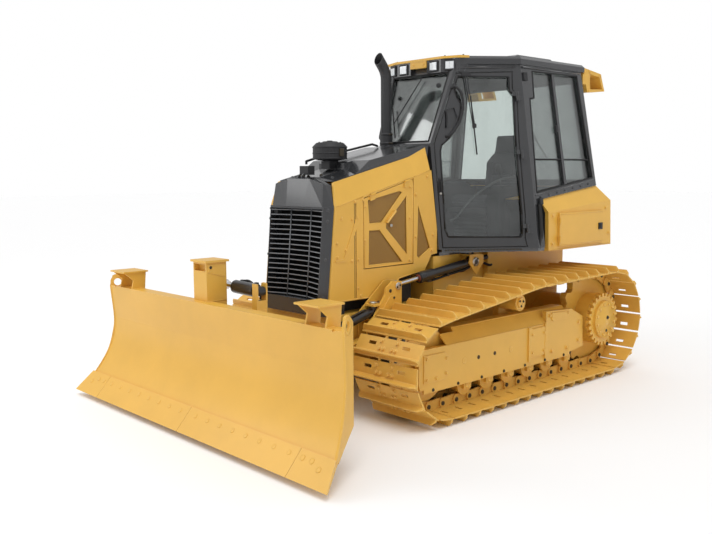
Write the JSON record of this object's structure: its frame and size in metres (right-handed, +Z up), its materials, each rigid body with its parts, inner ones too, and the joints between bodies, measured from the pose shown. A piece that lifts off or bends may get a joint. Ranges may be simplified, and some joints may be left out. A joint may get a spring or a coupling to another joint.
{
  "type": "crawler bulldozer",
  "caption": "Compact crawler bulldozer: enclosed cab, wide shoe tracks, grilled engine housing with opening doors, and a C-frame blade that lifts, angles and tilts.",
  "frame": {"origin": "on the ground under the middle of the machine's bounding box, at the grouser tips", "axes": "+Z up, the blade faces -Y, +X is the machine's left side"},
  "size_m": [3.1764, 4.3, 2.838],
  "materials": {
    "yellow_paint": "gloss",
    "shoe_steel": "satin",
    "dark_paint": "satin",
    "engine_paint": "satin",
    "tinted_glass": "polished",
    "black_plastic": "matte",
    "seat_fabric": "woven",
    "exhaust_coating": "matte",
    "cylinder_black": "satin",
    "rod_chrome": "polished"
  },
  "bodies": {
    "chassis": {"track_left": "shoe_steel", "track_right": "shoe_steel", "track_frames": "yellow_paint", "track_rollers": "yellow_paint", "sprockets": "yellow_paint", "main_frame": "yellow_paint", "frame_mounts": "yellow_paint", "engine_block": "engine_paint", "radiator_guard": "dark_paint", "grille": "dark_paint", "hood_top": "dark_paint", "side_panels": "yellow_paint", "cab_floor": "dark_paint", "cab_frame": "dark_paint", "cab_roof": "dark_paint", "cab_glass": "tinted_glass", "light_guards": "yellow_paint", "seat_base": "black_plastic", "seat_cushion": "seat_fabric", "seat_back": "seat_fabric", "consoles": "black_plastic", "rear_tank": "yellow_paint", "exhaust_stack": "exhaust_coating", "precleaner": "black_plastic"},
    "c_frame": {"c_frame": "yellow_paint"},
    "blade_yoke": {"blade_yoke": "yellow_paint"},
    "blade": {"blade": "yellow_paint", "cutting_edges": "yellow_paint"},
    "tilt_barrel": {"tilt_barrel": "cylinder_black"},
    "tilt_rod": {"tilt_rod": "rod_chrome"},
    "service_door": {"service_door": "yellow_paint"},
    "lift_barrel_left": {"lift_barrel_left": "cylinder_black"},
    "lift_rod_left": {"lift_rod_left": "rod_chrome"},
    "angle_barrel_left": {"angle_barrel_left": "cylinder_black"},
    "angle_rod_left": {"angle_rod_left": "rod_chrome"},
    "cab_door_left": {"cab_door_left": "dark_paint", "cab_door_glass_left": "tinted_glass"},
    "engine_door_left": {"engine_door_left": "yellow_paint"},
    "lift_barrel_right": {"lift_barrel_right": "cylinder_black"},
    "lift_rod_right": {"lift_rod_right": "rod_chrome"},
    "angle_barrel_right": {"angle_barrel_right": "cylinder_black"},
    "angle_rod_right": {"angle_rod_right": "rod_chrome"},
    "cab_door_right": {"cab_door_right": "dark_paint", "cab_door_glass_right": "tinted_glass"},
    "engine_door_right": {"engine_door_right": "yellow_paint"}
  },
  "joints": [
    {"name": "blade_lift", "type": "hinge", "parent": "chassis", "child": "c_frame", "pos_m": [0, 0.3, 0.5], "axis": [-1, 0, 0], "range_deg": [-16, 20]},
    {"name": "blade_angle", "type": "hinge", "parent": "c_frame", "child": "blade_yoke", "pos_m": [0, -1.5, 0.43], "axis": [0, 0, 1], "range_deg": [-25, 25]},
    {"name": "blade_tilt", "type": "hinge", "parent": "blade_yoke", "child": "blade", "pos_m": [0, -1.5, 0.43], "axis": [0, 1, 0], "range_deg": [-8, 8]},
    {"name": "lift_left_swing", "type": "hinge", "parent": "chassis", "child": "lift_barrel_left", "pos_m": [0.465, 0.462, 1.06], "axis": [-1, 0, 0], "range_deg": [-12.73, 15.91]},
    {"name": "lift_left_stroke", "type": "slide", "parent": "lift_barrel_left", "child": "lift_rod_left", "axis": [0, -0.9926, -0.1218], "range_m": [-0.193, 0.1544]},
    {"name": "lift_right_swing", "type": "hinge", "parent": "chassis", "child": "lift_barrel_right", "pos_m": [-0.465, 0.462, 1.06], "axis": [-1, 0, 0], "range_deg": [-12.73, 15.91]},
    {"name": "lift_right_stroke", "type": "slide", "parent": "lift_barrel_right", "child": "lift_rod_right", "axis": [0, -0.9926, -0.1218], "range_m": [-0.193, 0.1544]},
    {"name": "angle_left_swing", "type": "hinge", "parent": "c_frame", "child": "angle_barrel_left", "pos_m": [0.45, -0.69, 0.77], "axis": [0, 0, 1], "range_deg": [-3.87, 3.87]},
    {"name": "angle_left_stroke", "type": "slide", "parent": "angle_barrel_left", "child": "angle_rod_left", "axis": [0.0326, -0.9666, -0.2544], "range_m": [-0.2026, 0.2026]},
    {"name": "angle_right_swing", "type": "hinge", "parent": "c_frame", "child": "angle_barrel_right", "pos_m": [-0.45, -0.69, 0.77], "axis": [0, 0, 1], "range_deg": [-3.87, 3.87]},
    {"name": "angle_right_stroke", "type": "slide", "parent": "angle_barrel_right", "child": "angle_rod_right", "axis": [-0.0326, -0.9666, -0.2544], "range_m": [-0.2026, 0.2026]},
    {"name": "tilt_swing", "type": "hinge", "parent": "blade_yoke", "child": "tilt_barrel", "pos_m": [0.23, -1.585, 0.99], "axis": [0, 1, 0], "range_deg": [-4.16, 4.16]},
    {"name": "tilt_stroke", "type": "slide", "parent": "tilt_barrel", "child": "tilt_rod", "axis": [-0.9997, 0, 0.0232], "range_m": [-0.0805, 0.0805]},
    {"name": "cab_door_left_hinge", "type": "hinge", "parent": "chassis", "child": "cab_door_left", "pos_m": [0.88574, 0.69562, 1.19484], "axis": [-0.1309, 0.02, 0.9912], "range_deg": [0, 115]},
    {"name": "cab_door_right_hinge", "type": "hinge", "parent": "chassis", "child": "cab_door_right", "pos_m": [-0.88574, 0.69562, 1.19484], "axis": [-0.1309, -0.02, -0.9912], "range_deg": [0, 115]},
    {"name": "engine_door_left_hinge", "type": "hinge", "parent": "chassis", "child": "engine_door_left", "pos_m": [0.402, -0.45, 1.70059], "axis": [0, -0.9683, -0.2497], "range_deg": [0, 85]},
    {"name": "engine_door_right_hinge", "type": "hinge", "parent": "chassis", "child": "engine_door_right", "pos_m": [-0.402, -0.45, 1.70059], "axis": [0, 0.9683, 0.2497], "range_deg": [0, 85]},
    {"name": "service_door_hinge", "type": "hinge", "parent": "chassis", "child": "service_door", "pos_m": [0.93, 1.076, 1.33], "axis": [0, 0, -1], "range_deg": [0, 100]}
  ],
  "couplings": [
    {"joint": "lift_left_swing", "follows": "blade_lift", "ratio": 0.77991},
    {"joint": "lift_left_stroke", "follows": "blade_lift", "m_per_rad": -0.54209},
    {"joint": "lift_right_swing", "follows": "blade_lift", "ratio": 0.77991},
    {"joint": "lift_right_stroke", "follows": "blade_lift", "m_per_rad": -0.54209},
    {"joint": "angle_left_swing", "follows": "blade_angle", "ratio": 0.15189},
    {"joint": "angle_left_stroke", "follows": "blade_angle", "m_per_rad": -0.45511},
    {"joint": "angle_right_swing", "follows": "blade_angle", "ratio": 0.15189},
    {"joint": "angle_right_stroke", "follows": "blade_angle", "m_per_rad": 0.45511},
    {"joint": "tilt_swing", "follows": "blade_tilt", "ratio": 0.49558},
    {"joint": "tilt_stroke", "follows": "blade_tilt", "m_per_rad": -0.56491}
  ]
}
